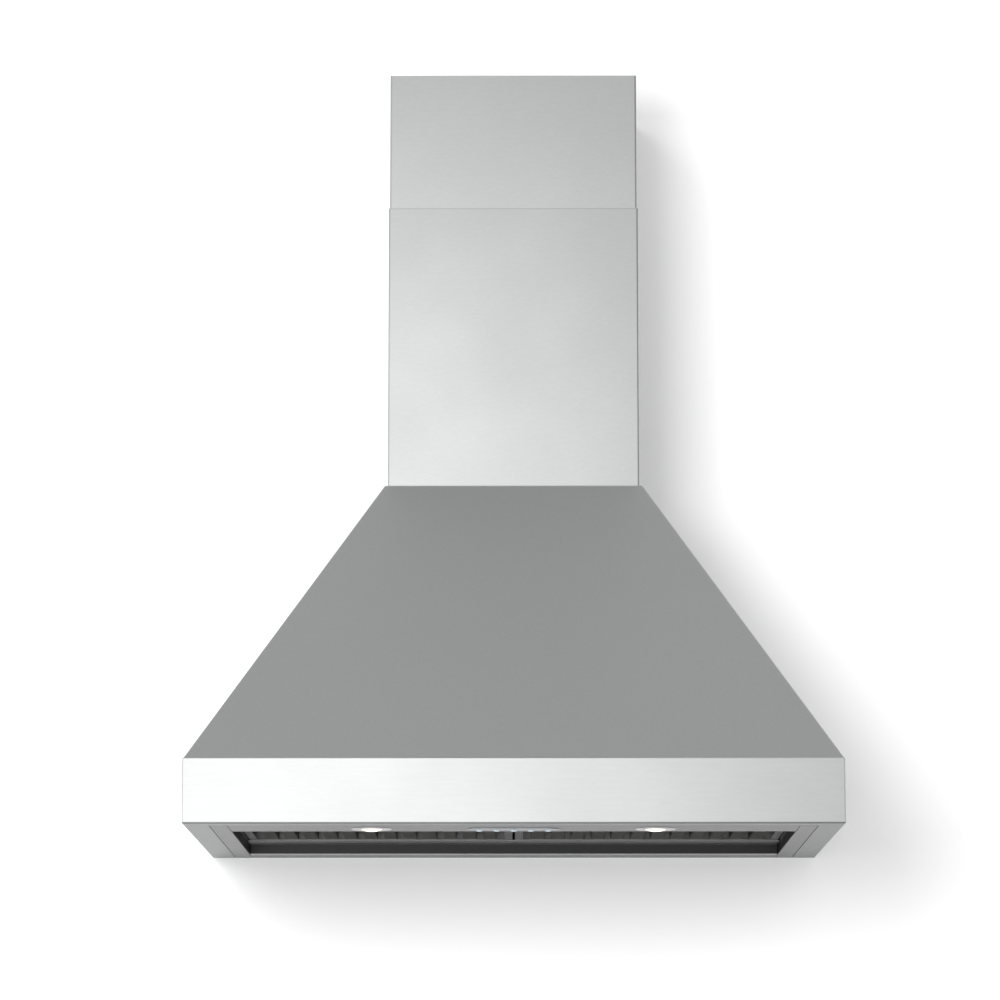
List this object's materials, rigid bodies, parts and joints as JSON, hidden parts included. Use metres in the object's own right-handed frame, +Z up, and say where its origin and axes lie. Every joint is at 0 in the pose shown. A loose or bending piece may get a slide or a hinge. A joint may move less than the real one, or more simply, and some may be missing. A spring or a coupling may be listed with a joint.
{
  "type": "chimney range hood",
  "caption": "Wall-mounted kitchen extractor hood: flared steel canopy on a straight band, telescoping chimney, baffle filters, lamps and push buttons underneath.",
  "frame": {"origin": "on the wall plane, at the middle of the hood's width and at the height of its bottom rim", "axes": "+Z up, +Y into the wall, so the hood's front faces -Y and +X is to the right of someone who looks at it"},
  "size_m": [0.9, 0.6, 1.131],
  "materials": {
    "band_steel": "long horizontal brushing",
    "chimney_steel": "vertical brushing",
    "slope_steel": "satin, fine even grain",
    "ledge_steel": "satin",
    "fascia_steel": "satin",
    "galvanised": "zinc-plated sheet",
    "duct_steel": "zinc-plated sheet",
    "spring_steel": "plain",
    "filter_steel": "satin",
    "baffle_steel": "satin",
    "wheel_steel": "zinc-plated sheet",
    "black_steel": "satin black paint",
    "copper": "lacquered windings",
    "screw_steel": "bright",
    "bezel_chrome": "polished",
    "dome_brass": "gold plated",
    "black_rubber": "matt",
    "black_plastic": "matt",
    "white_plastic": "matt",
    "board_green": "solder mask",
    "button_white": "translucent, lit from behind",
    "lens_glass": "frosted, lit"
  },
  "bodies": {
    "hood": {"canopy_band": "band_steel", "pyramid_shell": "slope_steel", "top_plate": "slope_steel", "back_panel": "galvanised", "front_ledge": "ledge_steel", "side_ledge_left": "ledge_steel", "side_ledge_right": "ledge_steel", "rear_ledge": "ledge_steel", "filter_clips": "spring_steel", "hanging_hooks": "galvanised", "lower_chimney": "chimney_steel", "chimney_feet": "galvanised", "duct_collar": "duct_steel", "collar_gasket": "black_rubber", "damper_pin": "screw_steel", "blower_scroll": "galvanised", "blower_side_left": "galvanised", "blower_side_right": "galvanised", "inlet_rings": "duct_steel", "motor_bracket": "black_steel", "motor_can": "black_steel", "motor_stator": "copper", "motor_bearings": "screw_steel", "run_capacitor": "white_plastic", "blower_straps": "galvanised", "control_box": "galvanised", "control_box_lid": "galvanised", "terminal_block": "white_plastic", "power_board": "board_green", "lamp_driver": "white_plastic", "cable_gland": "black_plastic", "control_fascia": "fascia_steel", "button_board": "board_green", "button_domes": "dome_brass", "lamp_bodies": "black_steel", "lamp_bezels": "bezel_chrome", "lamp_lenses": "lens_glass", "lamp_clips": "spring_steel", "wiring": "black_rubber", "screws": "screw_steel"},
    "upper_chimney_set": {"upper_chimney": "chimney_steel", "upper_bracket": "galvanised"},
    "front_flap": {"flap_front": "duct_steel"},
    "rear_flap": {"flap_rear": "duct_steel"},
    "fan": {"fan_wheel": "wheel_steel", "motor_shaft": "screw_steel"},
    "left_filter": {"filter_frame_left": "filter_steel", "baffles_left": "baffle_steel", "filter_handle_left": "bezel_chrome"},
    "right_filter": {"filter_frame_right": "filter_steel", "baffles_right": "baffle_steel", "filter_handle_right": "bezel_chrome"},
    "push_button_1": {"button_1": "button_white"},
    "push_button_2": {"button_2": "button_white"},
    "push_button_3": {"button_3": "button_white"},
    "push_button_4": {"button_4": "button_white"},
    "push_button_5": {"button_5": "button_white"}
  },
  "joints": [
    {"name": "chimney_slide", "type": "slide", "parent": "hood", "child": "upper_chimney_set", "axis": [0, 0, 1], "range_m": [-0.18, 0.14]},
    {"name": "front_flap_hinge", "type": "hinge", "parent": "hood", "child": "front_flap", "pos_m": [0, -0.145, 0.537], "axis": [-1, 0, 0], "range_deg": [0, 76]},
    {"name": "rear_flap_hinge", "type": "hinge", "parent": "hood", "child": "rear_flap", "pos_m": [0, -0.145, 0.537], "axis": [1, 0, 0], "range_deg": [0, 76]},
    {"name": "fan_spin", "type": "hinge", "parent": "hood", "child": "fan", "pos_m": [0, -0.2232, 0.33], "axis": [1, 0, 0], "continuous": true},
    {"name": "left_filter_drop", "type": "hinge", "parent": "hood", "child": "left_filter", "pos_m": [-0.19475, -0.119, 0.0172], "axis": [1, 0, 0], "range_deg": [0, 75]},
    {"name": "right_filter_drop", "type": "hinge", "parent": "hood", "child": "right_filter", "pos_m": [0.19475, -0.119, 0.0172], "axis": [1, 0, 0], "range_deg": [0, 75]},
    {"name": "button_1_press", "type": "slide", "parent": "hood", "child": "push_button_1", "axis": [0, 0, 1], "range_m": [0, 0.0012], "stiffness_N_per_m": 400, "springref_m": -0.001},
    {"name": "button_2_press", "type": "slide", "parent": "hood", "child": "push_button_2", "axis": [0, 0, 1], "range_m": [0, 0.0012], "stiffness_N_per_m": 400, "springref_m": -0.001},
    {"name": "button_3_press", "type": "slide", "parent": "hood", "child": "push_button_3", "axis": [0, 0, 1], "range_m": [0, 0.0012], "stiffness_N_per_m": 400, "springref_m": -0.001},
    {"name": "button_4_press", "type": "slide", "parent": "hood", "child": "push_button_4", "axis": [0, 0, 1], "range_m": [0, 0.0012], "stiffness_N_per_m": 400, "springref_m": -0.001},
    {"name": "button_5_press", "type": "slide", "parent": "hood", "child": "push_button_5", "axis": [0, 0, 1], "range_m": [0, 0.0012], "stiffness_N_per_m": 400, "springref_m": -0.001}
  ]
}
